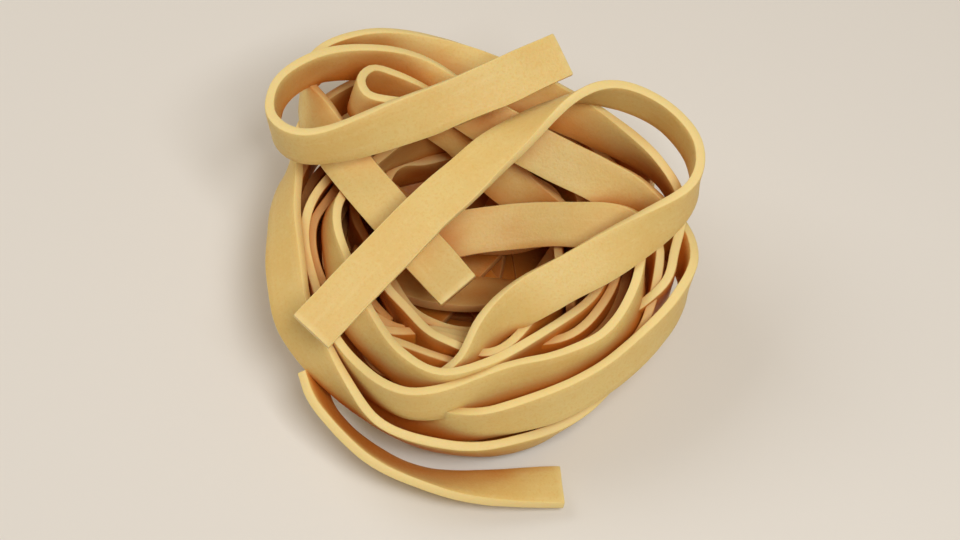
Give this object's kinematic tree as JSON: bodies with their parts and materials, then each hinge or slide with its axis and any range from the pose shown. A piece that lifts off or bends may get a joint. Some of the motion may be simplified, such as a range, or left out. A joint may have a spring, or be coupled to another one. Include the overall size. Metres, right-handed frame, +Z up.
{
  "type": "dry pasta nest",
  "caption": "Flat dried pasta ribbons wound into an open, bowl-like nest, with loose loops and square-cut ends on top and one end sprung out in front.",
  "frame": {"origin": "middle of the nest's plan, on the flat underside that it rests on", "axes": "+Z up, away from the surface it rests on; the sprung end is on the -Y side and the large top loop at -X, +Y"},
  "size_m": [0.053, 0.0565, 0.0316],
  "materials": {
    "pasta": "dry and matt, finely mottled, a little paler along the cut edges"
  },
  "bodies": {
    "root": {"nest": "pasta"}
  },
  "joints": []
}
